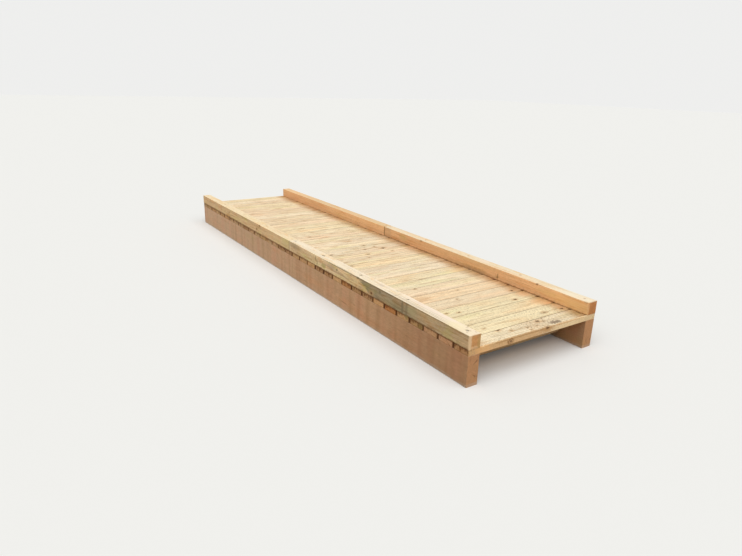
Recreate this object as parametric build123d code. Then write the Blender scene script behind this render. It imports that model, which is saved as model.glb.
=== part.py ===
from build123d import *
import math
import os

# Timber footbridge: two beams, cross noggings, a grooved board deck and two spliced kerbs.
# +X runs along the bridge, -Y is the near side and +Z is up. The origin is the middle of the underside.

# Beams
bridge_length = 5165.0
beam_width = 95.0
beam_depth = 220.0
beam_arris = 3.0

# Deck boards, laid from the left end, the last one ripped down to finish flush
board_length = 1244.0
board_width = 150.0
board_thickness = 44.0
end_board_width = 141.0
least_board_gap = 6.0
board_arris = 2.5

# Anti-slip grooves along the top of each board
groove_pitch = 18.0
groove_mouth = 7.0
groove_floor = 3.5
groove_depth = 3.5
least_groove_land = 8.0

# Kerbs, each of two lengths butted near mid-span
kerb_width = 95.0
kerb_height = 98.0
kerb_overhang = 3.0
kerb_arris = 2.0
near_splice_x = 30.0
far_splice_x = -20.0
splice_gap = 2.0

# Holes down through the kerbs with shallow counterbores, at even steps from mid-span and beside each splice
fixing_steps = 4
fixing_end_distance = 75.0
fixing_splice_distance = 40.0
counterbore_diameter = 22.0
counterbore_depth = 7.0
fixing_hole_diameter = 9.0

# Noggings between the beams, seated under the boards
nogging_count = 5
nogging_thickness = 47.0
nogging_depth = 170.0
nogging_end_distance = 250.0
nogging_arris = 2.0

# Levels, up from the underside of the beams
deck_underside = beam_depth
deck_top = deck_underside + board_thickness
kerb_top = deck_top + kerb_height

# Places across the bridge
beam_centre_y = board_length / 2 - beam_width / 2
kerb_outer_y = board_length / 2 + kerb_overhang
kerb_centre_y = kerb_outer_y - kerb_width / 2

# Signs of the sides along Y and of the ends along X
NEAR, FAR = -1, 1
LEFT, RIGHT = -1, 1


def eased_rectangle(width, height, arris):
    """Section of a squared timber whose four arrises are taken off at 45 degrees."""
    square = Rectangle(width, height)
    return chamfer(square.vertices(), arris)


def bar_along_x(length, width, height, arris):
    """A squared timber along X, its underside at z = 0."""
    section = Plane.YZ * eased_rectangle(width, height, arris)
    return Pos(Z=height / 2) * extrude(section, length / 2, both=True)


def beam(side):
    return Pos(Y=side * beam_centre_y) * bar_along_x(bridge_length, beam_width, beam_depth, beam_arris)


def nogging(centre_x):
    length = 2 * beam_centre_y - beam_width
    section = Plane.XZ * eased_rectangle(nogging_thickness, nogging_depth, nogging_arris)
    return Pos(centre_x, 0, deck_underside - nogging_depth / 2) * extrude(section, length / 2, both=True)


def nogging_places():
    reach = bridge_length / 2 - nogging_end_distance
    step = 2 * reach / (nogging_count - 1)
    return [-reach + step * index for index in range(nogging_count)]


def groove_cutter():
    """Flat-bottomed groove with sloping sides, in section, centred on the surface it is cut into."""
    cut_mouth = 2 * groove_mouth - groove_floor
    cut_depth = 2 * groove_depth
    side_angle = math.degrees(math.atan2(cut_depth, groove_mouth - groove_floor))
    return Rot(Z=180) * Trapezoid(cut_mouth, cut_depth, side_angle)


def board_section(width):
    """Board on its flat, centred on its own width, its underside at y = 0."""
    section = Pos(Y=board_thickness / 2) * eased_rectangle(width, board_thickness, board_arris)
    room = width - 2 * least_groove_land - groove_mouth
    grooves = math.floor(room / groove_pitch) + 1
    for place in GridLocations(groove_pitch, 0, max(grooves, 1), 1):
        section -= Pos(Y=board_thickness) * place * groove_cutter()
    return section


def deck_board(left_x, width):
    board = extrude(Plane.XZ * board_section(width), board_length / 2, both=True)
    return Pos(left_x + width / 2, 0, deck_underside) * board


def deck_boards():
    """Whole boards at even gaps from the left end, then the ripped board against the right end."""
    room = bridge_length - end_board_width
    whole_boards = math.floor(room / (board_width + least_board_gap))
    pitch = room / whole_boards
    left_end = -bridge_length / 2
    boards = [deck_board(left_end + pitch * index, board_width) for index in range(whole_boards)]
    boards.append(deck_board(left_end + room, end_board_width))
    return boards


def fixing_hole(centre_x, side):
    bore = Cylinder(fixing_hole_diameter / 2, 2 * kerb_height)
    head_room = Cylinder(counterbore_diameter / 2, 2 * counterbore_depth)
    return Pos(centre_x, side * kerb_centre_y, kerb_top) * (bore + head_room)


def fixing_places(direction, splice_x):
    """Places along one kerb length, which runs from its splice to the bridge's end."""
    step = (bridge_length / 2 - fixing_end_distance) / fixing_steps
    places = [direction * step * index for index in range(1, fixing_steps + 1)]
    return [splice_x + direction * fixing_splice_distance] + places


def kerb_timber(side, direction, splice_x):
    """One length of kerb: direction is -1 for the left one and 1 for the right one."""
    inner_end = splice_x + direction * splice_gap / 2
    outer_end = direction * bridge_length / 2
    blank = bar_along_x(abs(outer_end - inner_end), kerb_width, kerb_height, kerb_arris)
    timber = Pos((inner_end + outer_end) / 2, side * kerb_centre_y, deck_top) * blank
    for centre_x in fixing_places(direction, splice_x):
        timber -= fixing_hole(centre_x, side)
    return timber


def bridge_pieces():
    """Every piece of the bridge in place, by name."""
    pieces = {"beam_near": beam(NEAR), "beam_far": beam(FAR)}
    for number, centre_x in enumerate(nogging_places(), 1):
        pieces[f"nogging_{number}"] = nogging(centre_x)
    for number, board in enumerate(deck_boards(), 1):
        pieces[f"deck_board_{number:02d}"] = board
    pieces["kerb_near_left"] = kerb_timber(NEAR, LEFT, near_splice_x)
    pieces["kerb_near_right"] = kerb_timber(NEAR, RIGHT, near_splice_x)
    pieces["kerb_far_left"] = kerb_timber(FAR, LEFT, far_splice_x)
    pieces["kerb_far_right"] = kerb_timber(FAR, RIGHT, far_splice_x)
    return pieces


os.makedirs("parts", exist_ok=True)
for name, piece in bridge_pieces().items():
    export_step(piece, f"parts/{name}.step")
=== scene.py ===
"""Looks of the timber footbridge: softwood finishes, timber screws, stage, light and camera."""

import math
import random

import bmesh
import bpy
from mathutils import Matrix, Vector


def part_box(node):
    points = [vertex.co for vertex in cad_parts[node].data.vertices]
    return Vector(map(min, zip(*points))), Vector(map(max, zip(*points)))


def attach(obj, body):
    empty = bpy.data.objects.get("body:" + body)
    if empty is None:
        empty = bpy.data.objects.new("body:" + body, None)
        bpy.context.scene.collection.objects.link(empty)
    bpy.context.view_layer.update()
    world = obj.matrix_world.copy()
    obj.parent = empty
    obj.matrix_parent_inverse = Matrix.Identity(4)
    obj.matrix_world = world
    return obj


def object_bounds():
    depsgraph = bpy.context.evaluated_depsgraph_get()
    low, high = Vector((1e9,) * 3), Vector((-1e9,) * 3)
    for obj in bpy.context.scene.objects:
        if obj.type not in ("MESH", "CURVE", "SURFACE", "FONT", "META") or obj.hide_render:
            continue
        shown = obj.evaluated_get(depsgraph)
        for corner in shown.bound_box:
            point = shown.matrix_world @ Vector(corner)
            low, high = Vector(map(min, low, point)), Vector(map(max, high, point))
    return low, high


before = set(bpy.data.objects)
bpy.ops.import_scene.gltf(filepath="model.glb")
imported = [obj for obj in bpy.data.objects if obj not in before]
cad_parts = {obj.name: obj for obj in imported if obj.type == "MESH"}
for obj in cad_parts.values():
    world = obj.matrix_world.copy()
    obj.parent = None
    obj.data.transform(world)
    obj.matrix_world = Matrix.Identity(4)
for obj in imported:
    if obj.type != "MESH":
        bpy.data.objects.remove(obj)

cad_low, cad_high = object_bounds()

# The photograph's camera, in metres and degrees
CAMERA_PLACE = (4.9267, -2.9389, 1.8206)
CAMERA_AZIMUTH = 56.215
CAMERA_PITCH = 18.72
CAMERA_ROLL = 1.566
LENS_MM = 27.795
SENSOR_MM = 36.0

# Timber screws with washer heads, sunk in the kerbs' counterbores
COUNTERBORE_DEPTH = 0.007
SOCKET_RADIUS = 0.0027
SOCKET_LOBES = 6
LOBE_SHARE = 0.14
SOCKET_DEPTH = 0.0028
DOME_RADIUS = 0.0064
DOME_HEIGHT = 0.0052
WASHER_RADIUS = 0.0102
WASHER_THICKNESS = 0.0022
SHANK_RADIUS = 0.0038
SHANK_LENGTH = 0.06
SCREW_FACETS = 36
WELD_DISTANCE = 0.00001
# Rounded corners, as steps inwards and down from the sharp one
DOME_SHOULDER = ((0.0016, 0.0), (0.0004, 0.0005), (0.0, 0.0014))
WASHER_EDGE = ((0.0006, 0.0002), (0.0, 0.0008))
WASHER_CHAMFER = 0.0003

# Screws stand at even steps from mid-span to near the bridge's end, and one to each side of a splice
SCREWS_EACH_WAY = 4
SCREW_END_DISTANCE = 0.075
SCREW_SPLICE_DISTANCE = 0.04

# Base colours as linear light: early wood, late wood and knots
DECK = {"early": (1.0, 0.865, 0.62), "late": (0.64, 0.41, 0.20), "knot": (0.16, 0.07, 0.025)}
NEAR_KERB = {"early": (0.90, 0.69, 0.43), "late": (0.64, 0.37, 0.16), "knot": (0.20, 0.09, 0.03)}
FAR_KERB = {"early": (1.0, 0.63, 0.34), "late": (0.83, 0.41, 0.155), "knot": (0.20, 0.09, 0.03)}
BEAM = {"early": (0.74, 0.54, 0.38), "late": (0.60, 0.38, 0.22), "knot": (0.24, 0.12, 0.06)}
NOGGING = {"early": (0.70, 0.53, 0.32), "late": (0.50, 0.31, 0.15), "knot": (0.20, 0.10, 0.04)}
END_GRAIN = (0.80, 0.62, 0.47)
# Brown for the gaps between boards and where they run under the kerbs: painted shade, with some grime
GAP_BROWN = (0.46, 0.33, 0.22)
PALE_BACKDROP = (0.86, 0.86, 0.85)

# How far marks reach in from the kerbs' faces, the ends, the kerbs' tops, fine lines there, and the deck
FACE_REACH = 0.01
END_REACH = 0.012
TOP_REACH = 0.006
LINE_REACH = 0.004
DECK_REACH = 0.008

# A face looks along its timber past this cosine, and is its sawn end within this depth
ENDWARD_COSINE = 0.7
END_DEPTH = 0.001

# Levels and faces of the bridge, from the frame
BOARDS = sum(node.startswith("deck_board_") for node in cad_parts)
NOGGINGS = sum(node.startswith("nogging_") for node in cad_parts)
board_low, board_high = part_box("deck_board_01")
DECK_TOP = board_high.z
DECK_UNDERSIDE = board_low.z
BOARD_END_Y = board_high.y
far_kerb_low, far_kerb_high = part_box("kerb_far_left")
KERB_TOP = far_kerb_high.z
KERB_CENTRE_Y = (far_kerb_low.y + far_kerb_high.y) / 2
FAR_KERB_FACE_Y = far_kerb_low.y
FAR_SPLICE_X = far_kerb_high.x
NEAR_FACE_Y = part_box("kerb_near_left")[0].y
RIGHT_END_X = cad_high.x

draw = random.Random(52)


class Wiring:
    """A node tree that is wired up with one short call per node."""

    def __init__(self, tree):
        self.tree = tree
        tree.nodes.clear()

    def add(self, kind, **settings):
        node = self.tree.nodes.new(kind)
        for name, value in settings.items():
            setattr(node, name, value)
        return node

    def plug(self, value, socket):
        if isinstance(value, bpy.types.NodeSocket):
            self.tree.links.new(value, socket)
        elif value is not None:
            socket.default_value = value

    def fill(self, node, values):
        """Plugs values into a node's sockets: a dictionary by name or number, anything else in order."""
        pairs = values.items() if isinstance(values, dict) else enumerate(values)
        for key, value in pairs:
            self.plug(value, node.inputs[key])
        return node

    def math(self, operation, *values):
        return self.fill(self.add("ShaderNodeMath", operation=operation), values).outputs[0]

    def times(self, first, second):
        return self.math("MULTIPLY", first, second)

    def plus(self, first, second):
        return self.math("ADD", first, second)

    def minus(self, first, second):
        return self.math("SUBTRACT", first, second)

    def absolute(self, value):
        return self.math("ABSOLUTE", value)

    def vector(self, operation, *values):
        node = self.fill(self.add("ShaderNodeVectorMath", operation=operation), values)
        return node.outputs["Value" if operation == "LENGTH" else "Vector"]

    def noise(self, place, scales, detail=3.0, roughness=0.5, output="Fac"):
        where = self.vector("MULTIPLY", place, scales)
        given = {"Vector": where, "Scale": 1.0, "Detail": detail, "Roughness": roughness}
        return self.fill(self.add("ShaderNodeTexNoise"), given).outputs[output]

    def ramp(self, value, low, high, to_low=0.0, to_high=1.0):
        """Eases from to_low, where the value is low or less, to to_high, where it is high or more."""
        node = self.add("ShaderNodeMapRange", interpolation_type="SMOOTHSTEP")
        return self.fill(node, (value, low, high, to_low, to_high)).outputs["Result"]

    def mix(self, factor, colour_a, colour_b):
        node = self.add("ShaderNodeMix", data_type="RGBA")
        return self.fill(node, {"Factor": factor, 6: colour_a, 7: colour_b}).outputs[2]

    def shade(self, colour, factor):
        """The colour times one number."""
        return self.vector("SCALE", colour, None, None, factor)

    def tint(self, factor, colour, multiplier):
        """The colour, turned towards itself times a multiplier as the factor rises to 1."""
        return self.mix(factor, colour, self.vector("MULTIPLY", colour, multiplier))

    def axes(self, place):
        return self.fill(self.add("ShaderNodeSeparateXYZ"), [place]).outputs

    def bump(self, strength, distance, height):
        given = {"Strength": strength, "Distance": distance, "Height": height}
        return self.fill(self.add("ShaderNodeBump"), given).outputs[0]

    def end_with(self, shader, output="ShaderNodeOutputMaterial"):
        self.plug(shader.outputs[0], self.add(output).inputs["Surface"])


def rgb(red, green, blue):
    return (red, green, blue, 1.0)


def new_material(name):
    material = bpy.data.materials.new(name)
    material.use_nodes = True
    return material, Wiring(material.node_tree)


def softwood_group():
    """Growth rings, fibres, streaks and knots of a softwood timber whose grain runs along X."""
    group = bpy.data.node_groups.new("softwood", "ShaderNodeTree")
    wire = Wiring(group)
    given_sockets = (
        ("Place", "NodeSocketVector"), ("Seed", "NodeSocketVector"), ("Pith", "NodeSocketVector"),
        ("Ring Width", "NodeSocketFloat"), ("Knots", "NodeSocketFloat"), ("Figure", "NodeSocketFloat"),
        ("Ring Contrast", "NodeSocketFloat"), ("Checks", "NodeSocketFloat"), ("End", "NodeSocketFloat"),
        ("Early", "NodeSocketColor"), ("Late", "NodeSocketColor"), ("Knot", "NodeSocketColor"),
    )
    for name, kind in given_sockets:
        group.interface.new_socket(name, in_out="INPUT", socket_type=kind)
    results = (("Color", "NodeSocketColor"), ("Height", "NodeSocketFloat"), ("Tone", "NodeSocketFloat"))
    for name, kind in results:
        group.interface.new_socket(name, in_out="OUTPUT", socket_type=kind)
    given = wire.add("NodeGroupInput").outputs
    seeded = wire.vector("ADD", given["Place"], given["Seed"])

    knot_inside, knot_near = knots(wire, seeded, given["Knots"])
    ring_place, tone = rings(wire, given, seeded, knot_near)
    fibre = wire.noise(seeded, (9.0, 420.0, 420.0), roughness=0.65)
    streak = wire.noise(seeded, (1.1, 34.0, 34.0))
    flame = wire.noise(seeded, (4.5, 60.0, 60.0), detail=4.0, roughness=0.6)
    fleck = wire.noise(seeded, (26.0, 130.0, 130.0), detail=2.0)
    patch = wire.noise(seeded, (1.7, 7.0, 7.0), detail=2.0)
    split = drying_splits(wire, given, seeded, ring_place)

    figure = given["Figure"]
    contrast = wire.math("MAXIMUM", given["Ring Contrast"], wire.times(given["End"], 1.5))
    colour = wire.mix(wire.times(tone, contrast), given["Early"], given["Late"])
    flames = wire.times(wire.ramp(flame, 0.5, 0.75, 0.0, 0.8), figure)
    colour = wire.mix(flames, colour, given["Late"])
    flecks = wire.times(wire.ramp(fleck, 0.6, 0.78, 0.0, 0.5), figure)
    colour = wire.tint(flecks, colour, (0.72, 0.62, 0.5))
    colour = wire.tint(wire.ramp(patch, 0.52, 0.72), colour, (1.02, 0.95, 0.90))
    colour = wire.tint(wire.ramp(patch, 0.28, 0.46, 1.0, 0.0), colour, (0.97, 1.01, 0.93))
    streaks = wire.math("POWER", wire.ramp(streak, 0.3, 0.7, 0.91, 1.05), figure)
    colour = wire.shade(colour, wire.times(wire.ramp(fibre, 0.25, 0.75, 0.88, 1.09), streaks))
    colour = wire.mix(wire.times(knot_near, 0.5), colour, given["Late"])
    colour = wire.mix(knot_inside, colour, given["Knot"])
    colour = wire.tint(given["End"], colour, END_GRAIN)
    colour = wire.tint(split, colour, (0.30, 0.24, 0.20))

    height = wire.plus(wire.times(tone, 0.45), wire.times(fibre, 0.6))
    height = wire.plus(height, wire.times(knot_inside, 0.6))
    height = wire.minus(height, wire.times(split, 1.5))
    wire.fill(wire.add("NodeGroupOutput"), {"Color": colour, "Height": height, "Tone": tone})
    return group


def knots(wire, seeded, share):
    """Round knots in some of the cells that fill the timber: how far inside one, and how near."""
    cells = (3.2, 9.5, 9.5)
    drawn_out = (0.62, 1.0, 1.0)
    smallest = 0.004
    largest = 0.014
    voronoi = wire.add("ShaderNodeTexVoronoi", voronoi_dimensions="3D", feature="F1")
    wire.fill(voronoi, {"Vector": wire.vector("MULTIPLY", seeded, cells), "Scale": 1.0, "Randomness": 0.85})
    centre = wire.vector("DIVIDE", voronoi.outputs["Position"], cells)
    offset = wire.vector("MULTIPLY", wire.vector("SUBTRACT", seeded, centre), drawn_out)
    ragged = wire.noise(seeded, (60.0, 60.0, 60.0), detail=1.0)
    away = wire.plus(wire.vector("LENGTH", offset), wire.ramp(ragged, 0.2, 0.8, -0.002, 0.002))
    chances = wire.fill(wire.add("ShaderNodeSeparateColor"), [voronoi.outputs["Color"]])
    present = wire.math("LESS_THAN", chances.outputs[0], share)
    size = wire.ramp(chances.outputs[1], 0.0, 1.0, smallest, largest)
    ratio = wire.math("DIVIDE", away, size)
    inside = wire.times(wire.ramp(ratio, 0.7, 1.15, 1.0, 0.0), present)
    near = wire.times(wire.ramp(ratio, 0.9, 2.8, 1.0, 0.0), present)
    return inside, near


def rings(wire, given, seeded, knot_near):
    """Late wood of the growth rings, 0 to 1, bulging round the knots."""
    middle = (0.5, 0.5, 0.5)
    wander_reach = (0.0, 0.05, 0.05)
    swirl_reach = (0.0, 0.009, 0.009)
    bulge = 0.009
    wander = wire.noise(seeded, (1.1, 0.0, 0.0), detail=1.0, output="Color")
    wander = wire.vector("MULTIPLY", wire.vector("SUBTRACT", wander, middle), wander_reach)
    swirl = wire.noise(seeded, (3.0, 16.0, 16.0), detail=2.0, output="Color")
    swirl = wire.vector("MULTIPLY", wire.vector("SUBTRACT", swirl, middle), swirl_reach)
    place = wire.vector("ADD", wire.vector("MULTIPLY", given["Place"], (0.0, 1.0, 1.0)), given["Pith"])
    place = wire.vector("ADD", wire.vector("ADD", place, wander), swirl)
    radius = wire.plus(wire.vector("LENGTH", place), wire.times(knot_near, bulge))
    phase = wire.math("DIVIDE", radius, given["Ring Width"])
    part = wire.math("FRACT", phase)
    late = wire.times(wire.math("POWER", part, 2.6), wire.ramp(part, 0.9, 1.0, 1.0, 0.0))
    year = wire.add("ShaderNodeTexWhiteNoise", noise_dimensions="1D")
    wire.plug(wire.math("FLOOR", phase), year.inputs["W"])
    return place, wire.times(late, wire.ramp(year.outputs["Value"], 0.0, 1.0, 0.45, 1.0))


def drying_splits(wire, given, seeded, ring_place):
    """Hairline splits, 0 to 1: along the grain on the long faces and outwards from the pith on the ends."""
    along = wire.noise(seeded, (0.8, 24.0, 24.0), detail=1.0)
    along = wire.ramp(wire.absolute(wire.minus(along, 0.5)), 0.002, 0.007, 1.0, 0.0)
    where = wire.ramp(wire.noise(seeded, (1.4, 5.0, 5.0), detail=1.0), 0.57, 0.63)
    along = wire.times(wire.times(along, where), given["Checks"])
    axes = wire.axes(ring_place)
    around = wire.times(wire.math("ARCTAN2", axes["Y"], axes["Z"]), 3.0)
    away = wire.times(wire.vector("LENGTH", ring_place), 2.0)
    turn = wire.fill(wire.add("ShaderNodeCombineXYZ"), [around, away])
    outward = wire.noise(wire.vector("ADD", turn.outputs[0], given["Seed"]), (1.0, 1.0, 1.0), detail=1.0)
    outward = wire.ramp(wire.absolute(wire.minus(outward, 0.5)), 0.003, 0.012, 0.75, 0.0)
    where = wire.ramp(wire.noise(seeded, (13.0, 13.0, 13.0), detail=1.0), 0.5, 0.56)
    outward = wire.times(outward, where)
    on_end = wire.times(outward, given["End"])
    on_face = wire.times(along, wire.minus(1.0, given["End"]))
    return wire.math("MAXIMUM", on_end, on_face)


SOFTWOOD = softwood_group()


class Surface:
    """What a mark may look at: the place on the bridge, its axes and the way the face looks."""

    def __init__(self, wire, place, normal):
        self.wire = wire
        self.place = place
        self.x, self.y, self.z = wire.axes(place)
        self.right, self.far, self.up = wire.axes(normal)

    def noise(self, scales, **settings):
        return self.wire.noise(self.place, scales, **settings)


def timber_material(name, centre, half_length, along_y, finish):
    """Material of one timber: rings round its own pith, then the marks of its finish."""
    material, wire = new_material(name)
    texture = wire.add("ShaderNodeTexCoord").outputs
    mapping = wire.add("ShaderNodeMapping", vector_type="TEXTURE")
    turn = (0.0, 0.0, math.pi / 2 if along_y else 0.0)
    wire.fill(mapping, {"Vector": texture["Object"], "Location": centre, "Rotation": turn})
    surface = Surface(wire, texture["Object"], texture["Normal"])
    across = surface.far if along_y else surface.right
    faces_end = wire.math("GREATER_THAN", wire.absolute(across), ENDWARD_COSINE)
    along = wire.absolute(wire.axes(mapping.outputs[0])["X"])
    end = wire.times(faces_end, wire.math("GREATER_THAN", along, half_length - END_DEPTH))

    timber = wire.add("ShaderNodeGroup", node_tree=SOFTWOOD)
    wire.fill(timber, {
        "Place": mapping.outputs[0], "End": end, "Seed": [draw.uniform(-9.0, 9.0) for _ in range(3)],
        "Pith": (0.0, *finish["pith"]), "Ring Width": finish["ring_width"], "Knots": finish["knots"],
        "Figure": finish["figure"], "Ring Contrast": finish["ring_contrast"], "Checks": finish["checks"],
        "Early": rgb(*finish["early"]), "Late": rgb(*finish["late"]), "Knot": rgb(*finish["knot"]),
    })
    colour = timber.outputs["Color"]
    for mark in finish["marks"]:
        colour = mark(wire, surface, colour)

    roughness = wire.ramp(timber.outputs["Tone"], 0.0, 1.0, 0.74, 0.6)
    bump = wire.bump(0.3, 0.0012, timber.outputs["Height"])
    wire.end_with(wire.fill(wire.add("ShaderNodeBsdfPrincipled"), {
        "Base Color": colour, "Roughness": roughness, "Specular IOR Level": 0.2, "Normal": bump,
    }))
    return material


def reaches_away(wire, surface, centre, reach):
    """Distance from a centre, where 1 is the given reach along X, Y and Z."""
    offset = wire.vector("SUBTRACT", surface.place, centre)
    return wire.vector("LENGTH", wire.vector("DIVIDE", offset, reach))


def outer_near_face(wire, surface):
    """1 on the faces that look to the near side, 0 on the others."""
    return wire.ramp(wire.times(surface.far, -1.0), 0.5, 0.8)


def either_side_face(wire, surface):
    """1 on the faces that look to the near or the far side, 0 on the others."""
    return wire.ramp(wire.absolute(surface.far), 0.5, 0.8)


def spot(centre, reach, colour, strength, edge=0.35, ragged=0.35):
    """A mark that fades out round the given reach along X, Y and Z, with a soft and ragged edge."""
    def mark(wire, surface, under):
        rough = surface.noise((90.0, 90.0, 90.0))
        away = reaches_away(wire, surface, centre, reach)
        away = wire.plus(away, wire.ramp(rough, 0.2, 0.8, -ragged, ragged))
        factor = wire.ramp(away, 1.0 - edge, 1.0 + edge, strength, 0.0)
        return wire.mix(factor, under, rgb(*colour))
    return mark


# Spots on one face each: their places and reaches are the two along that face

def near_face_spot(x, z, reach, colour, strength, deep=FACE_REACH, **edges):
    return spot((x, NEAR_FACE_Y, z), (reach[0], deep, reach[1]), colour, strength, **edges)


def far_face_spot(x, z, reach, colour, strength, deep=FACE_REACH, **edges):
    return spot((x, FAR_KERB_FACE_Y, z), (reach[0], deep, reach[1]), colour, strength, **edges)


def end_spot(y, z, reach, colour, strength, **edges):
    return spot((RIGHT_END_X, y, z), (END_REACH, *reach), colour, strength, **edges)


def top_spot(x, y, reach, colour, strength, deep=TOP_REACH, **edges):
    return spot((x, y, KERB_TOP), (*reach, deep), colour, strength, **edges)


def deck_spot(x, y, reach, colour, strength, **edges):
    return spot((x, y, DECK_TOP), (*reach, DECK_REACH), colour, strength, **edges)


def knot_at(x, y, z, size, along_y=True, strength=0.85):
    """A small knot that the photograph shows, with a faint halo."""
    long, wide = (1.0, 1.5) if along_y else (1.5, 1.0)
    reach = (size * long, size * wide, size)
    halo = tuple(2.4 * part for part in reach)
    dark = spot((x, y, z), reach, (0.13, 0.055, 0.02), strength)
    ring = spot((x, y, z), halo, (0.62, 0.36, 0.15), 0.45)
    return [ring, dark]


def speck_cluster(centre, reach, strength):
    """Dense dark specks inside a soft patch."""
    def mark(wire, surface, under):
        inside = wire.ramp(reaches_away(wire, surface, centre, reach), 0.5, 1.2, strength, 0.0)
        fine = surface.noise((110.0, 60.0, 60.0), detail=2.0)
        specks = wire.times(wire.ramp(fine, 0.56, 0.63), inside)
        return wire.mix(specks, under, rgb(0.34, 0.21, 0.12))
    return mark


def fine_mottle(low, high, along_y=False):
    """A fine light and dark mottle, drawn out along the grain."""
    scales = (110.0, 45.0, 110.0) if along_y else (45.0, 110.0, 110.0)

    def mark(wire, surface, colour):
        mottle = surface.noise(scales, detail=4.0, roughness=0.7)
        return wire.shade(colour, wire.ramp(mottle, 0.32, 0.68, low, high))
    return mark


def groove_dust_and_shade(tone):
    """Grooves hold a little dust and get painted shade, so they are darker than the ridges."""
    least_depth = 0.0008
    full_depth = 0.003

    def mark(wire, surface, colour):
        depth = wire.minus(DECK_TOP, surface.z)
        clump = surface.noise((14.0, 5.0, 1.0))
        # Painted shade and dust down in the grooves
        inside = wire.times(wire.ramp(depth, least_depth, full_depth), wire.ramp(surface.up, 0.2, 0.7))
        factor = wire.times(inside, wire.ramp(clump, 0.3, 0.7, 0.45, 1.0))
        return wire.tint(factor, colour, tone)
    return mark


def gap_grime_and_shade(number, middle, half_width, line):
    """The long edges that face the next board are brown with painted shade and grime, and at their top as
    strongly as line says.
    """
    def mark(wire, surface, colour):
        aside = wire.minus(surface.x, middle)
        if number == BOARDS:
            aside = wire.times(aside, -1.0)
        elif number > 1:
            aside = wire.absolute(aside)
        beside_gap = wire.ramp(aside, half_width - 0.0030, half_width - 0.0010)
        depth = wire.ramp(surface.z, DECK_TOP - 0.006, DECK_TOP - 0.002, 1.0, line)
        # Painted shade and grime on the edges in the gaps
        return wire.tint(wire.times(beside_gap, depth), colour, GAP_BROWN)
    return mark


def end_damp_and_shade(middle, half_width, shade, damp_and_shade_reach, beside_gaps):
    """A board's end: its tone, a band under the kerb that is part painted shade of the kerb and part damp,
    and painted shade lines at its foot by the beam and beside the gaps.
    """
    def mark(wire, surface, colour):
        sideways = either_side_face(wire, surface)
        colour = wire.tint(sideways, colour, shade)
        # A band under the kerb: painted shade of the kerb, and damp further down
        drips = surface.noise((65.0, 1.0, 4.0), detail=4.0)
        low_edge = wire.ramp(drips, 0.32, 0.68, DECK_TOP - 0.004, DECK_TOP - 0.006 - 0.034 * damp_and_shade_reach)
        height = wire.minus(surface.z, low_edge)
        band = wire.ramp(height, -0.006, 0.006, 0.0, 0.5 + 0.4 * damp_and_shade_reach)
        # Painted shade lines at the foot by the beam and beside the gaps
        foot = wire.ramp(surface.z, DECK_UNDERSIDE + 0.003, DECK_UNDERSIDE + 0.008, 0.5 * beside_gaps, 0.0)
        aside = wire.absolute(wire.minus(surface.x, middle))
        gap_line = wire.ramp(aside, half_width - 0.012, half_width - 0.004, 0.0, beside_gaps)
        lines = wire.math("MAXIMUM", foot, gap_line)
        factor = wire.times(wire.math("MAXIMUM", band, lines), sideways)
        return wire.tint(factor, colour, (0.42, 0.32, 0.22))
    return mark


def gap_foot_shade(middle, half_width):
    """A dark dot on the deck at many of the gaps between boards that run in under a kerb: painted shade where
    the gap runs into the dark under the kerb.
    """
    def mark(wire, surface, colour):
        aside = wire.absolute(wire.minus(surface.x, middle))
        beside_gap = wire.ramp(aside, half_width - 0.014, half_width - 0.004)
        across = wire.absolute(surface.y)
        at_kerb = wire.ramp(across, FAR_KERB_FACE_Y - 0.032, FAR_KERB_FACE_Y - 0.014)
        some = wire.ramp(surface.noise((5.0, 3.0, 1.0), detail=1.0), 0.38, 0.6, 0.1, 0.9)
        factor = wire.times(wire.times(beside_gap, at_kerb), some)
        return wire.tint(factor, colour, GAP_BROWN)
    return mark


def kerb_shade_and_dirt(wire, surface, colour):
    """A broad brown band beside the far kerb, partly painted shade and partly damp, and a dark foot line
    along both kerbs, partly painted contact shade and partly grime.
    """
    clump = surface.noise((6.0, 9.0, 1.0))
    inward = wire.minus(FAR_KERB_FACE_Y, surface.y)
    reach = wire.ramp(clump, 0.3, 0.7, 0.15, 0.19)
    deepest = wire.ramp(surface.noise((9.0, 4.0, 1.0), detail=2.0), 0.35, 0.65, 0.8, 1.0)
    # Painted shade of the far kerb on the deck beside it, with damp and dirt
    colour = wire.tint(wire.ramp(inward, 0.02, reach, deepest, 0.0), colour, (0.60, 0.43, 0.28))
    # A dark line at the foot of both kerbs: painted contact shade, with grime
    ragged = surface.noise((40.0, 40.0, 1.0), detail=2.0)
    aside = wire.plus(wire.absolute(surface.y), wire.ramp(ragged, 0.3, 0.7, -0.006, 0.006))
    strength = wire.ramp(surface.x, -0.6, 0.8, 0.2, 0.7)
    factor = wire.ramp(aside, FAR_KERB_FACE_Y - 0.012, FAR_KERB_FACE_Y - 0.002, 0.0, strength)
    factor = wire.times(factor, wire.ramp(surface.z, DECK_TOP - 0.008, DECK_TOP - 0.004))
    return wire.tint(factor, colour, (0.52, 0.37, 0.25))


def trodden_dirt(amount):
    """Fine dark specks trodden into the deck, in loose clusters."""
    def mark(wire, surface, colour):
        fine = surface.noise((95.0, 95.0, 95.0))
        wide = surface.noise((5.0, 5.0, 5.0), detail=2.0)
        begun = 0.62 - 0.025 * amount
        specks = wire.times(wire.ramp(fine, begun, begun + 0.08), wire.ramp(wide, 0.36, 0.6))
        return wire.mix(wire.times(specks, amount), colour, rgb(0.30, 0.22, 0.14))
    return mark


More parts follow.
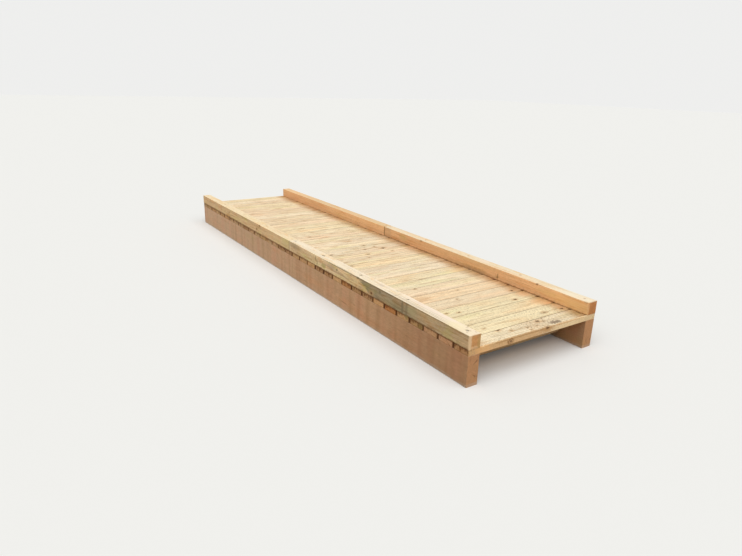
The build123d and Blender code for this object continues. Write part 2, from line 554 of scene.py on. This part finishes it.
def clean_top(colour, amount):
    """The top of a kerb has bleached paler, in fine lengthwise bands with warmer patches and grey lines."""
    def mark(wire, surface, under):
        bands = surface.noise((0.9, 80.0, 80.0))
        upward = wire.ramp(surface.up, 0.5, 0.8)
        bleached = wire.ramp(bands, 0.35, 0.6, 0.55 * amount, amount)
        under = wire.mix(wire.times(upward, bleached), under, rgb(*colour))
        patch = surface.noise((7.0, 26.0, 26.0), detail=4.0, roughness=0.6)
        warm = wire.times(wire.ramp(patch, 0.50, 0.66), upward)
        under = wire.tint(warm, under, (0.98, 0.88, 0.74))
        grey_lines = wire.times(wire.ramp(bands, 0.58, 0.66, 0.0, 0.4), upward)
        return wire.tint(grey_lines, under, (0.82, 0.76, 0.68))
    return mark


def yellow_patches(wire, surface, colour):
    """Uneven yellow, orange and grey-brown patches along the near kerb's outer face."""
    outward = outer_near_face(wire, surface)
    patch = surface.noise((6.0, 1.0, 14.0), detail=4.0, roughness=0.6)
    green = wire.times(wire.ramp(patch, 0.52, 0.66), outward)
    orange = wire.times(wire.ramp(patch, 0.34, 0.46, 1.0, 0.0), outward)
    colour = wire.tint(green, colour, (0.96, 1.03, 0.84))
    colour = wire.tint(orange, colour, (1.0, 0.90, 0.80))
    stain = surface.noise((11.0, 2.0, 30.0), detail=4.0, roughness=0.6)
    stain = wire.times(wire.ramp(stain, 0.55, 0.68), outward)
    return wire.tint(stain, colour, (0.88, 0.86, 0.87))


def grey_weathering(wire, surface, colour):
    """The near kerb's right length has weathered grey-green beyond a slanting line."""
    slant = wire.plus(surface.x, wire.times(surface.z, 2.2))
    ragged = surface.noise((30.0, 1.0, 60.0))
    slant = wire.plus(slant, wire.ramp(ragged, 0.2, 0.8, -0.03, 0.03))
    begun = wire.ramp(slant, 2.03, 2.10)
    outward = outer_near_face(wire, surface)
    factor = wire.times(begun, outward)
    fading = wire.ramp(surface.x, 1.85, 2.15, 1.0, 0.55)
    cloud = surface.noise((6.0, 1.0, 12.0))
    fading = wire.times(fading, wire.ramp(cloud, 0.3, 0.65, 0.8, 1.05))
    colour = wire.tint(wire.times(factor, fading), colour, (0.48, 0.53, 0.58))
    top_line = wire.times(wire.ramp(surface.z, KERB_TOP - 0.014, KERB_TOP - 0.007), factor)
    return wire.tint(top_line, colour, (0.74, 0.7, 0.62))


def streaks_and_painted_light(wire, surface, colour):
    """Soft upright streaks down a beam, with painted shade that makes it browner and darker towards the
    right, and pale along the bottom as a painted highlight on the lower arris.
    """
    outward = either_side_face(wire, surface)
    streaks = surface.noise((15.0, 3.0, 0.9), roughness=0.4)
    brown = wire.times(wire.ramp(streaks, 0.42, 0.7), outward)
    colour = wire.tint(brown, colour, (0.87, 0.84, 0.8))
    pink = surface.noise((7.0, 5.0, 1.2), detail=2.0)
    pink = wire.times(wire.ramp(pink, 0.45, 0.7), outward)
    colour = wire.tint(pink, colour, (1.04, 0.96, 0.98))
    # Painted shade: browner and darker towards the right end
    shade_to_right = wire.times(wire.ramp(surface.x, -2.6, 2.6), outward)
    colour = wire.tint(shade_to_right, colour, (0.90, 0.79, 0.67))
    deeper_shade_to_right = wire.times(wire.ramp(surface.x, 1.2, 2.4), outward)
    colour = wire.tint(deeper_shade_to_right, colour, (0.77, 0.75, 0.75))
    # Painted highlight: a pale band along the lower arris
    ragged_bottom = surface.noise((7.0, 3.0, 20.0), detail=2.0)
    low_edge = wire.plus(surface.z, wire.ramp(ragged_bottom, 0.3, 0.7, -0.006, 0.006))
    return wire.mix(wire.ramp(low_edge, 0.012, 0.024, 0.3, 0.0), colour, rgb(0.62, 0.55, 0.46))


def kerb_foot_shade_and_grime(wire, surface, colour):
    """A thin brown line along the foot of a kerb, partly painted contact shade where it meets the deck and
    partly grime.
    """
    ragged = surface.noise((30.0, 30.0, 30.0), detail=2.0)
    height = wire.plus(surface.z, wire.ramp(ragged, 0.3, 0.7, -0.004, 0.004))
    factor = wire.ramp(height, DECK_TOP + 0.004, DECK_TOP + 0.010, 0.7, 0.0)
    return wire.tint(factor, colour, (0.50, 0.40, 0.30))


def near_left_marks():
    return [
        yellow_patches, clean_top((1.0, 0.84, 0.58), 0.85), kerb_foot_shade_and_grime, fine_mottle(0.90, 1.09),
        *knot_at(-0.702, NEAR_FACE_Y, 0.352, 0.008, along_y=False),
        *knot_at(-0.781, NEAR_FACE_Y, 0.301, 0.009, along_y=False, strength=0.6),
        *knot_at(-1.62, NEAR_FACE_Y, 0.318, 0.007, along_y=False, strength=0.4),
        near_face_spot(-0.28, 0.315, (0.28, 0.08), (1.0, 0.78, 0.46), 0.3, edge=0.8),
        near_face_spot(-0.06, 0.32, (0.10, 0.06), (0.78, 0.74, 0.38), 0.4, ragged=0.5),
        near_face_spot(0.024, 0.31, (0.007, 0.07), (0.40, 0.30, 0.16), 0.6, ragged=0.1),
    ]


def near_right_marks():
    return [
        yellow_patches, clean_top((1.0, 0.88, 0.70), 0.9), paler_face, grey_weathering, kerb_foot_shade_and_grime,
        fine_mottle(0.91, 1.09), *near_right_face_marks(), *near_right_top_marks(), *near_right_end_marks(),
    ]


def paler_face(wire, surface, colour):
    """The left half of the near kerb's right length is a little paler and greyer than the rest."""
    outward = outer_near_face(wire, surface)
    begun = wire.times(outward, wire.ramp(surface.x, 0.1, 0.7, 0.4, 1.0))
    stretch = wire.times(begun, wire.ramp(surface.x, 1.0, 1.3, 1.0, 0.0))
    return wire.tint(stretch, colour, (1.12, 1.20, 1.28))


def near_right_face_marks():
    stain = (0.26, 0.21, 0.13)
    return [
        near_face_spot(0.042, 0.31, (0.012, 0.07), (0.96, 0.86, 0.60), 0.6, ragged=0.1),
        near_face_spot(0.15, 0.335, (0.12, 0.035), (0.42, 0.33, 0.22), 0.5, edge=0.6),
        near_face_spot(0.565, 0.325, (0.012, 0.022), (0.34, 0.26, 0.13), 0.55),
        near_face_spot(0.595, 0.300, (0.012, 0.022), (0.34, 0.26, 0.13), 0.45),
        near_face_spot(0.530, 0.305, (0.016, 0.030), (0.74, 0.60, 0.36), 0.5),
        near_face_spot(0.715, 0.300, (0.038, 0.020), (0.46, 0.41, 0.15), 0.65),
        near_face_spot(0.86, 0.330, (0.09, 0.024), (0.52, 0.39, 0.27), 0.5, edge=0.6),
        near_face_spot(0.95, 0.327, (0.014, 0.009), (0.26, 0.20, 0.12), 0.75),
        near_face_spot(1.05, 0.357, (0.30, 0.006), (0.34, 0.26, 0.15), 0.65, ragged=0.3),
        near_face_spot(1.279, 0.354, (0.018, 0.009), (0.24, 0.19, 0.09), 0.8, deep=0.012),
        near_face_spot(1.592, 0.334, (0.014, 0.012), (0.22, 0.18, 0.11), 0.55),
        near_face_spot(1.49, 0.290, (0.035, 0.026), (0.56, 0.45, 0.28), 0.45),
        *knot_at(1.476, NEAR_FACE_Y, 0.290, 0.009, along_y=False),
        near_face_spot(1.88, 0.31, (0.012, 0.055), stain, 0.75, ragged=0.2),
        near_face_spot(1.93, 0.31, (0.013, 0.055), stain, 0.65, ragged=0.2),
        near_face_spot(1.99, 0.32, (0.05, 0.035), (0.52, 0.47, 0.26), 0.5, edge=0.6),
        near_face_spot(RIGHT_END_X, 0.315, (0.010, 0.075), (0.86, 0.66, 0.42), 0.6, ragged=0.15, deep=0.012),
    ]


def near_right_end_marks():
    """The sawn end: a pale left edge and foot round an orange heart."""
    return [
        end_spot(-0.575, 0.33, (0.034, 0.036), (0.82, 0.43, 0.18), 0.35, edge=0.5),
        end_spot(-0.617, 0.315, (0.013, 0.07), (0.98, 0.76, 0.50), 0.6, ragged=0.2),
        end_spot(-0.585, 0.268, (0.045, 0.016), (0.95, 0.70, 0.42), 0.5),
        end_spot(-0.552, 0.345, (0.012, 0.016), (0.50, 0.28, 0.13), 0.4),
        end_spot(-0.538, 0.300, (0.016, 0.045), (0.56, 0.42, 0.17), 0.45, edge=0.5),
    ]


def near_right_top_marks():
    pencil = (0.42, 0.36, 0.29)
    grey_grain = (0.52, 0.43, 0.33)
    specks = ((2.472, -0.551), (2.466, -0.532), (2.53, -0.600), (2.55, -0.545), (2.52, -0.565))
    dirt = [top_spot(x, y, (0.009, 0.006), (0.44, 0.32, 0.20), 0.45, deep=LINE_REACH) for x, y in specks]
    return [
        top_spot(1.768, -0.606, (0.0035, 0.05), pencil, 0.7, ragged=0.15, deep=LINE_REACH),
        top_spot(1.533, -0.571, (0.035, 0.017), (0.72, 0.6, 0.48), 0.6),
        top_spot(1.699, -0.536, (0.020, 0.010), (0.55, 0.49, 0.34), 0.6),
        top_spot(2.10, -0.609, (0.42, 0.0042), grey_grain, 0.65, ragged=0.3, deep=LINE_REACH),
        top_spot(2.02, -0.595, (0.34, 0.0040), grey_grain, 0.6, ragged=0.3, deep=LINE_REACH),
        top_spot(1.30, -0.560, (0.40, 0.0036), grey_grain, 0.35, ragged=0.3, deep=LINE_REACH),
        top_spot(2.10, -0.575, (0.30, 0.0040), grey_grain, 0.5, ragged=0.3, deep=LINE_REACH),
        top_spot(2.18, -0.550, (0.38, 0.026), (1.0, 0.85, 0.72), 0.6, edge=0.5),
        top_spot(2.43, -0.585, (0.10, 0.050), (1.0, 0.86, 0.55), 0.6, edge=0.5),
        top_spot(2.55, -0.575, (0.085, 0.08), (0.96, 0.80, 0.58), 0.5, ragged=0.2),
        *dirt, *screw_recess_shade_and_dirt(),
    ]


def screw_recess_shade_and_dirt():
    """Dark patches in and round the near counterbores that show most clearly, counted from the left end:
    painted shade of the recesses, with some dirt.
    """
    strengths = {6: 0.35, 7: 0.7, 8: 0.4, 10: 0.4}
    row = dict(enumerate(screw_row("near"), 1))
    return [
        top_spot(row[number], -KERB_CENTRE_Y, (0.019, 0.012), (0.34, 0.26, 0.16), strength)
        for number, strength in strengths.items()
    ]


def far_splice_marks(side):
    """A dark line at the far kerb's splice and, to its right, a paler strip."""
    beside_splice = FAR_SPLICE_X + side * 0.003
    line = far_face_spot(beside_splice, 0.31, (0.006, 0.07), (0.27, 0.15, 0.07), 0.75, deep=0.02, ragged=0.1)
    strip = far_face_spot(0.04, 0.31, (0.06, 0.07), (0.66, 0.43, 0.24), 0.5, deep=0.02, ragged=0.2)
    return [strip, line] if side > 0 else [line]


def far_left_marks():
    return [
        clean_top((0.81, 0.61, 0.37), 0.85), fine_mottle(0.94, 1.05), *far_splice_marks(-1),
        far_face_spot(-2.30, 0.31, (0.55, 0.08), (0.86, 0.48, 0.25), 0.35, edge=0.8),
        top_spot(-2.35, KERB_CENTRE_Y, (0.50, 0.08), (0.97, 0.62, 0.34), 0.45, edge=0.8),
    ]


def far_right_marks():
    return [
        clean_top((0.91, 0.80, 0.59), 0.9), kerb_foot_shade_and_grime, fine_mottle(0.93, 1.06), *far_splice_marks(1),
        far_face_spot(0.32, 0.325, (0.06, 0.030), (0.66, 0.50, 0.20), 0.5, edge=0.6),
        far_face_spot(0.98, 0.31, (0.55, 0.08), (0.64, 0.37, 0.18), 0.3, edge=0.8),
        far_face_spot(1.40, 0.276, (0.16, 0.022), (0.40, 0.25, 0.13), 0.5, edge=0.6),
        far_face_spot(1.35, 0.350, (0.35, 0.014), (0.88, 0.60, 0.30), 0.45, edge=0.6),
        far_face_spot(2.20, 0.320, (0.10, 0.020), (0.82, 0.56, 0.24), 0.45, edge=0.6),
        *knot_at(1.672, FAR_KERB_FACE_Y, 0.288, 0.006, along_y=False, strength=0.5),
        far_face_spot(1.678, 0.300, (0.006, 0.026), (0.30, 0.17, 0.08), 0.75, ragged=0.15, deep=0.008),
        far_face_spot(2.42, 0.310, (0.17, 0.045), (1.0, 0.62, 0.26), 0.55, edge=0.7),
        end_spot(0.590, 0.305, (0.050, 0.060), (0.50, 0.22, 0.085), 0.65, edge=0.5),
        end_spot(0.537, 0.315, (0.010, 0.060), (0.95, 0.62, 0.32), 0.5, ragged=0.2),
        far_face_spot(2.10, 0.357, (0.014, 0.008), (0.34, 0.17, 0.07), 0.75),
        far_face_spot(0.62, 0.357, (0.016, 0.008), (0.36, 0.20, 0.09), 0.65),
        far_face_spot(2.56, 0.357, (0.020, 0.007), (0.62, 0.33, 0.13), 0.6),
        top_spot(1.45, 0.585, (0.06, 0.03), (1.0, 0.78, 0.62), 0.5, edge=0.5),
        top_spot(2.44, 0.575, (0.20, 0.055), (1.0, 0.94, 0.76), 0.5, edge=0.6),
        top_spot(2.30, 0.600, (0.24, 0.0035), (0.56, 0.44, 0.32), 0.45, ragged=0.3, deep=LINE_REACH),
    ]


# Knots that the photograph shows on the deck: x, y, size and strength
DECK_KNOTS = (
    (1.512, -0.225, 0.007, 0.8), (1.854, -0.078, 0.006, 0.6), (1.701, 0.066, 0.006, 0.6),
    (2.070, -0.248, 0.007, 0.7), (1.925, 0.441, 0.009, 0.95), (2.085, 0.315, 0.009, 0.9),
    (2.445, -0.236, 0.010, 0.85), (2.377, -0.297, 0.006, 0.4), (2.475, 0.124, 0.011, 0.9),
    (2.394, 0.480, 0.010, 0.98), (2.384, 0.303, 0.010, 0.5), (0.355, -0.343, 0.010, 0.8),
    (0.382, 0.237, 0.015, 0.95), (0.210, 0.116, 0.010, 0.8), (0.292, 0.190, 0.008, 0.7),
    (0.341, 0.048, 0.009, 0.7), (0.495, -0.013, 0.010, 0.8), (0.593, -0.066, 0.007, 0.7),
    (0.500, 0.270, 0.007, 0.5), (-0.339, -0.209, 0.010, 0.7), (0.743, -0.354, 0.009, 0.7),
    (2.041, -0.344, 0.008, 0.6), (2.496, -0.157, 0.007, 0.65), (2.553, -0.024, 0.006, 0.7),
    (2.515, -0.022, 0.006, 0.7), (2.492, 0.168, 0.006, 0.6), (2.525, 0.060, 0.006, 0.6),
)
# Coloured patches that the photograph shows on the deck: x, y, reach along X and Y, colour and strength
DECK_PATCHES = (
    (1.30, 0.42, (0.05, 0.09), (0.90, 0.55, 0.28), 0.4),
    (1.716, -0.32, (0.045, 0.07), (0.66, 0.40, 0.20), 0.45),
    (2.03, 0.46, (0.05, 0.06), (0.92, 0.55, 0.30), 0.4),
    (2.20, 0.44, (0.05, 0.08), (0.92, 0.54, 0.26), 0.4),
    (2.267, 0.47, (0.030, 0.05), (0.90, 0.50, 0.24), 0.5),
    (2.36, 0.49, (0.05, 0.04), (0.84, 0.50, 0.28), 0.35),
    (2.385, 0.298, (0.016, 0.05), (0.52, 0.47, 0.33), 0.5),
    (-1.275, -0.06, (0.012, 0.14), (0.50, 0.36, 0.22), 0.5),
)
# Dark olive patches on the near ends of two boards: x, reach, height and colour
OLIVE_ENDS = ((2.092, 0.024, 0.240, (0.27, 0.18, 0.06)), (1.930, 0.020, 0.258, (0.34, 0.26, 0.10)))

# How a board's ends look: tone, reach of the band under the kerb (part painted shade of the kerb, part damp),
# strength of the painted shade lines beside the gaps and at the foot
END_LOOKS = {
    "pale": ((1.04, 1.06, 1.02), 0.12, 0.95),
    "pink": ((0.90, 0.84, 1.00), 0.20, 0.75),
    "tan": ((0.90, 0.92, 0.92), 0.45, 0.6),
    "brown": ((0.74, 0.71, 0.71), 0.8, 0.85),
    "orange": ((0.80, 0.62, 0.46), 0.7, 0.9),
    "wet": ((0.90, 0.97, 1.08), 0.7, 0.35),
}
# The ends that the photograph shows clearly, from the twentieth board to the right end
RIGHT_ENDS = ("pale", "brown", "brown", "pale", "orange", "brown", "brown", "pale", "orange", "tan", "brown",
              "pink", "pink", "brown")


def end_look(number):
    """The look of a board's ends, drawn where the photograph doesn't show them clearly."""
    left_ends = BOARDS - len(RIGHT_ENDS)
    if number > left_ends:
        return END_LOOKS[RIGHT_ENDS[number - left_ends - 1]]
    return END_LOOKS[draw.choice(("wet", "wet", "brown", "tan"))]


# Tints that the boards draw from, and those of boards whose colour stands out in the photograph
BOARD_TINTS = (
    (1.0, 1.0, 1.0), (1.02, 0.97, 0.97), (1.0, 1.0, 0.96), (1.02, 1.02, 1.06), (0.98, 0.95, 0.94),
)
PINK_BOARD = 28
PINK_TINT = (1.02, 0.95, 0.90)
GREENISH_BOARDS = (30, 31, 32)
GREENISH_TINT = (1.0, 1.01, 0.95)

# The grooves show more towards the right end: the boards where that begins and ends, and the tone of the dust
# and painted shade in them
PLAIN_UP_TO = 20
CLEAREST_FROM = 29
LIGHT_DUST_AND_SHADE = (0.61, 0.52, 0.43)
DEEP_DUST_AND_SHADE = (0.24, 0.17, 0.11)

# Dirt trodden into the boards from each of these numbers on, and the first board with a speckled patch
TRODDEN_FROM = {1: 0.5, 29: 0.75, 32: 1.0}
SPECKLED_FROM = 32


def right_end_share(number):
    """0 on the left and middle boards, rising to 1 on those at the right end."""
    share = (number - PLAIN_UP_TO) / (CLEAREST_FROM - PLAIN_UP_TO)
    return min(max(share, 0.0), 1.0)


def between(share, start, end):
    return start + share * (end - start)


def deck_marks(number):
    """All marks of one board: its own finish, then what the photograph shows on it."""
    low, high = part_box(f"deck_board_{number:02d}")
    middle, half_width = (low.x + high.x) / 2, (high.x - low.x) / 2
    share = right_end_share(number)
    dust_and_shade = tuple(between(share, light, deep) for light, deep in zip(LIGHT_DUST_AND_SHADE, DEEP_DUST_AND_SHADE))
    line = draw.uniform(0.0, between(share, 0.3, 0.2))
    dirt = max(amount for first, amount in TRODDEN_FROM.items() if number >= first)
    marks = [
        fine_mottle(0.91, between(share, 1.07, 1.09), along_y=True), groove_dust_and_shade(dust_and_shade), kerb_shade_and_dirt,
        gap_grime_and_shade(number, middle, half_width, line), gap_foot_shade(middle, half_width),
        end_damp_and_shade(middle, half_width, *end_look(number)), trodden_dirt(dirt),
    ]
    for x, y, reach, colour, strength in DECK_PATCHES:
        if low.x <= x <= high.x:
            marks.append(deck_spot(x, y, reach, colour, strength, edge=0.5, ragged=0.5))
    for x, y, size, strength in DECK_KNOTS:
        if low.x <= x <= high.x:
            marks += knot_at(x, y, DECK_TOP, size, strength=strength)
    for x, reach, height, colour in OLIVE_ENDS:
        if low.x <= x <= high.x:
            marks.append(spot((x, -BOARD_END_Y, height), (reach, END_REACH, reach), colour, 0.75))
    if number >= SPECKLED_FROM:
        marks.append(speck_cluster((2.49, 0.10, DECK_TOP), (0.10, 0.22, 0.01), 0.7))
    if number == BOARDS:
        marks += front_board_marks()
    return marks


def front_board_marks():
    """The last board: the tones, edge lines and knots of its open edge, and the grey smear on its top."""
    grey = (0.24, 0.17, 0.12)
    front_z = (DECK_TOP + DECK_UNDERSIDE) / 2
    return [
        end_spot(-0.25, front_z, (0.46, 0.05), (0.75, 0.47, 0.22), 0.75, ragged=0.4),
        end_spot(0.42, front_z, (0.28, 0.05), (1.0, 0.80, 0.50), 0.8, ragged=0.4),
        fine_mottle(0.88, 1.10),
        end_spot(-0.15, DECK_TOP - 0.003, (0.34, 0.007), (0.46, 0.26, 0.11), 0.7),
        end_spot(0.30, DECK_TOP - 0.003, (0.18, 0.006), (0.66, 0.38, 0.17), 0.65),
        end_spot(-0.50, front_z, (0.07, 0.03), (1.0, 0.60, 0.27), 0.5, edge=0.5),
        end_spot(-0.251, front_z, (0.029, 0.018), (0.32, 0.16, 0.06), 0.9),
        end_spot(-0.249, front_z, (0.017, 0.010), (0.88, 0.62, 0.36), 0.75),
        end_spot(-0.249, front_z, (0.010, 0.007), (0.15, 0.07, 0.03), 0.95),
        end_spot(0.10, DECK_TOP - 0.006, (0.075, 0.03), (0.48, 0.27, 0.12), 0.5, edge=0.6),
        *knot_at(RIGHT_END_X, 0.108, DECK_TOP - 0.003, 0.011, strength=0.8),
        deck_spot(2.542, 0.228, (0.021, 0.055), grey, 0.9, ragged=0.5),
        deck_spot(2.52, 0.13, (0.045, 0.13), (0.62, 0.46, 0.30), 0.35, edge=0.9, ragged=0.6),
    ]


def tinted(colours, tint):
    """A timber's base colours, each times the tint."""
    return {key: tuple(part * share for part, share in zip(value, tint)) for key, value in colours.items()}


def board_finish(number):
    """Boards cut from all over the log, each with its own tint and with quieter rings at the right end."""
    tint = draw.choice(BOARD_TINTS)
    if number == PINK_BOARD:
        tint = PINK_TINT
    if number in GREENISH_BOARDS:
        tint = GREENISH_TINT
    side = draw.choice((-1.0, 1.0))
    pith = (draw.uniform(-0.09, 0.09), side * draw.uniform(0.02, 0.12))
    look = {"pith": pith, "ring_width": draw.uniform(0.0045, 0.008), "knots": 0.14}
    share = right_end_share(number)
    look |= {"ring_contrast": between(share, 0.8, 0.38), "figure": between(share, 1.7, 0.85)}
    return tinted(DECK, tint) | look | {"checks": 0.0, "marks": deck_marks(number)}


def large_finish(colours, marks):
    """Kerbs, beams and noggings: slow-grown timber with a few knots and hairline splits."""
    pith = (draw.uniform(-0.05, 0.05), draw.uniform(-0.05, 0.05))
    look = {"pith": pith, "ring_width": draw.uniform(0.0035, 0.005), "ring_contrast": 0.7, "knots": 0.16}
    return colours | look | {"figure": 1.2, "checks": 0.4, "marks": marks}


def beam_finish():
    """Denser timber with finer, fainter rings and streaks down its sides."""
    look = {"ring_width": draw.uniform(0.0024, 0.003), "ring_contrast": 0.6, "knots": 0.05, "figure": 0.4}
    return large_finish(BEAM, [streaks_and_painted_light, fine_mottle(0.92, 1.08)]) | look


def dress(node, finish, along_y):
    """Puts a timber's own material on its node."""
    low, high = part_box(node)
    half = (high - low) / 2
    wood = timber_material(node + "_wood", low + half, half.y if along_y else half.x, along_y, finish)
    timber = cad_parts[node]
    timber.data.materials.clear()
    timber.data.materials.append(wood)


def dress_timbers():
    for number in range(1, BOARDS + 1):
        dress(f"deck_board_{number:02d}", board_finish(number), True)
    dress("kerb_near_left", large_finish(NEAR_KERB, near_left_marks()), False)
    dress("kerb_near_right", large_finish(NEAR_KERB, near_right_marks()), False)
    dress("kerb_far_left", large_finish(FAR_KERB, far_left_marks()), False)
    dress("kerb_far_right", large_finish(FAR_KERB, far_right_marks()), False)
    for side in ("near", "far"):
        dress(f"beam_{side}", beam_finish(), False)
    for number in range(1, NOGGINGS + 1):
        dress(f"nogging_{number}", large_finish(NOGGING, []), True)


def add_object(name, data):
    item = bpy.data.objects.new(name, data)
    bpy.context.scene.collection.objects.link(item)
    return item


def add_mesh(name, work, material):
    mesh = bpy.data.meshes.new(name)
    work.to_mesh(mesh)
    work.free()
    mesh.materials.append(material)
    return add_object(name, mesh)


def screw_steel():
    """Dull zinc plating with a little rust in blotches."""
    material, wire = new_material("screw_steel")
    place = wire.add("ShaderNodeTexCoord").outputs["Object"]
    spangle = wire.noise(place, (420.0, 420.0, 420.0))
    blotch = wire.noise(place, (130.0, 130.0, 130.0))
    zinc = wire.mix(wire.ramp(spangle, 0.3, 0.7), rgb(0.62, 0.61, 0.58), rgb(0.76, 0.75, 0.71))
    most_rust = 0.45
    rust = wire.ramp(blotch, 0.55, 0.72, 0.0, most_rust)
    wire.end_with(wire.fill(wire.add("ShaderNodeBsdfPrincipled"), {
        "Base Color": wire.mix(rust, zinc, rgb(0.30, 0.17, 0.08)),
        "Metallic": wire.ramp(rust, 0.0, most_rust, 0.35, 0.05),
        "Roughness": wire.ramp(spangle, 0.3, 0.7, 0.45, 0.6),
        "Normal": wire.bump(0.2, 0.0003, spangle),
    }))
    return material


def screw_profile():
    """Half the screw's outline as (radius, height), from its socket's floor to its tip; the seat is at 0."""
    socket_floor = DOME_HEIGHT - SOCKET_DEPTH
    return (
        (0.0, socket_floor), (SOCKET_RADIUS, socket_floor), (SOCKET_RADIUS, DOME_HEIGHT),
        *((DOME_RADIUS - inward, DOME_HEIGHT - down) for inward, down in DOME_SHOULDER),
        (DOME_RADIUS, WASHER_THICKNESS),
        *((WASHER_RADIUS - inward, WASHER_THICKNESS - down) for inward, down in WASHER_EDGE),
        (WASHER_RADIUS, WASHER_CHAMFER), (WASHER_RADIUS - WASHER_CHAMFER, 0.0),
        (SHANK_RADIUS, 0.0), (SHANK_RADIUS, -SHANK_LENGTH), (0.0, -SHANK_LENGTH),
    )


def screw_row(side):
    """Places along X of the screws in the two kerbs of one side, from the left end."""
    left_kerb, right_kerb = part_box(f"kerb_{side}_left"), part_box(f"kerb_{side}_right")
    splice_x = (left_kerb[1].x + right_kerb[0].x) / 2
    step = (RIGHT_END_X - SCREW_END_DISTANCE) / SCREWS_EACH_WAY
    right_places = [step * number for number in range(1, SCREWS_EACH_WAY + 1)]
    left_places = [-x for x in reversed(right_places)]
    return left_places + [splice_x - SCREW_SPLICE_DISTANCE, splice_x + SCREW_SPLICE_DISTANCE] + right_places


def add_screw(work, x, y):
    """A turned washer head with a six-lobed socket on a plain shank, seated in its counterbore."""
    screw = bmesh.new()
    corners = [screw.verts.new((radius, 0.0, height)) for radius, height in screw_profile()]
    edges = [screw.edges.new(pair) for pair in zip(corners, corners[1:])]
    bmesh.ops.spin(screw, geom=corners + edges, cent=(0.0, 0.0, 0.0), axis=(0.0, 0.0, 1.0),
                   angle=2 * math.pi, steps=SCREW_FACETS, use_merge=True)
    bmesh.ops.remove_doubles(screw, verts=screw.verts, dist=WELD_DISTANCE)
    for vertex in screw.verts:
        if vertex.co.z > 0.0 and vertex.co.xy.length < SOCKET_RADIUS + WELD_DISTANCE:
            lobe = 1.0 + LOBE_SHARE * math.cos(SOCKET_LOBES * math.atan2(vertex.co.y, vertex.co.x))
            vertex.co.xy *= lobe
    seat = Matrix.Translation((x, y, KERB_TOP - COUNTERBORE_DEPTH))
    turn = Matrix.Rotation(draw.uniform(0.0, 2 * math.pi / SOCKET_LOBES), 4, "Z")
    bmesh.ops.transform(screw, matrix=seat @ turn, verts=screw.verts)
    one = bpy.data.meshes.new("one_screw")
    screw.to_mesh(one)
    screw.free()
    work.from_mesh(one)
    bpy.data.meshes.remove(one)


def place_screws(steel):
    """One piece for each side, with all the screws of its two kerbs."""
    for side, y in (("near", -KERB_CENTRE_Y), ("far", KERB_CENTRE_Y)):
        work = bmesh.new()
        for x in screw_row(side):
            add_screw(work, x, y)
        bmesh.ops.recalc_face_normals(work, faces=work.faces)
        screws = add_mesh(f"timber_screws_{side}", work, steel)
        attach(screws, "root")


def place_floor():
    """A floor that the camera sees pale and that throws a warm brown light back up."""
    half_width = 60.0
    drop = 0.0005
    work = bmesh.new()
    bmesh.ops.create_grid(work, x_segments=1, y_segments=1, size=half_width)
    bmesh.ops.translate(work, verts=work.verts, vec=(0.0, 0.0, cad_low.z - drop))
    material, wire = new_material("floor")
    rays = wire.add("ShaderNodeLightPath").outputs
    seen = wire.math("MAXIMUM", rays["Is Camera Ray"], rays["Is Glossy Ray"])
    shader = wire.add("ShaderNodeBsdfDiffuse")
    wire.plug(wire.mix(seen, rgb(0.42, 0.30, 0.18), rgb(*PALE_BACKDROP)), shader.inputs["Color"])
    wire.end_with(shader)
    floor = add_mesh("floor", work, material)


def light_world():
    """A warm grey light from all round, behind a pale backdrop that only the camera sees."""
    world = bpy.data.worlds.new("studio")
    bpy.context.scene.world = world
    world.use_nodes = True
    wire = Wiring(world.node_tree)
    rays = wire.add("ShaderNodeLightPath").outputs
    seen = wire.math("MAXIMUM", rays["Is Camera Ray"], rays["Is Transmission Ray"])
    background = wire.add("ShaderNodeBackground")
    wire.plug(wire.mix(seen, rgb(0.40, 0.37, 0.32), rgb(*PALE_BACKDROP)), background.inputs["Color"])
    wire.plug(1.0, background.inputs["Strength"])
    wire.end_with(background, "ShaderNodeOutputWorld")


def hang_soft_sun(azimuth, elevation, spread, colour, strength):
    """Soft light from high on one side; the angles are in degrees."""
    light = bpy.data.lights.new("overhead", "SUN")
    light.angle = math.radians(spread)
    light.color = colour
    light.energy = strength
    lamp = add_object("overhead", light)
    lamp.rotation_euler = (math.radians(90.0 - elevation), 0.0, math.radians(azimuth))


def set_camera():
    """The camera fitted to the photograph, turned a little about its own line of sight."""
    azimuth, pitch, roll = (math.radians(angle) for angle in (CAMERA_AZIMUTH, CAMERA_PITCH, CAMERA_ROLL))
    ahead = Vector((-math.sin(azimuth), math.cos(azimuth), -math.tan(pitch))).normalized()
    level = ahead.cross(Vector((0.0, 0.0, 1.0))).normalized()
    upright = level.cross(ahead)
    right = level * math.cos(roll) + upright * math.sin(roll)
    turn = Matrix((right, right.cross(ahead), -ahead)).transposed()
    data = bpy.data.cameras.new("camera")
    data.sensor_width = SENSOR_MM
    data.lens = LENS_MM
    data.clip_start, data.clip_end = 0.05, 300.0
    camera = add_object("camera", data)
    camera.matrix_world = Matrix.Translation(CAMERA_PLACE) @ turn.to_4x4()
    bpy.context.scene.camera = camera


dress_timbers()
place_screws(screw_steel())
place_floor()
light_world()
hang_soft_sun(azimuth=60.0, elevation=62.0, spread=80.0, colour=(0.92, 0.96, 1.0), strength=2.4)
set_camera()
bpy.context.scene.view_settings.view_transform = "Standard"
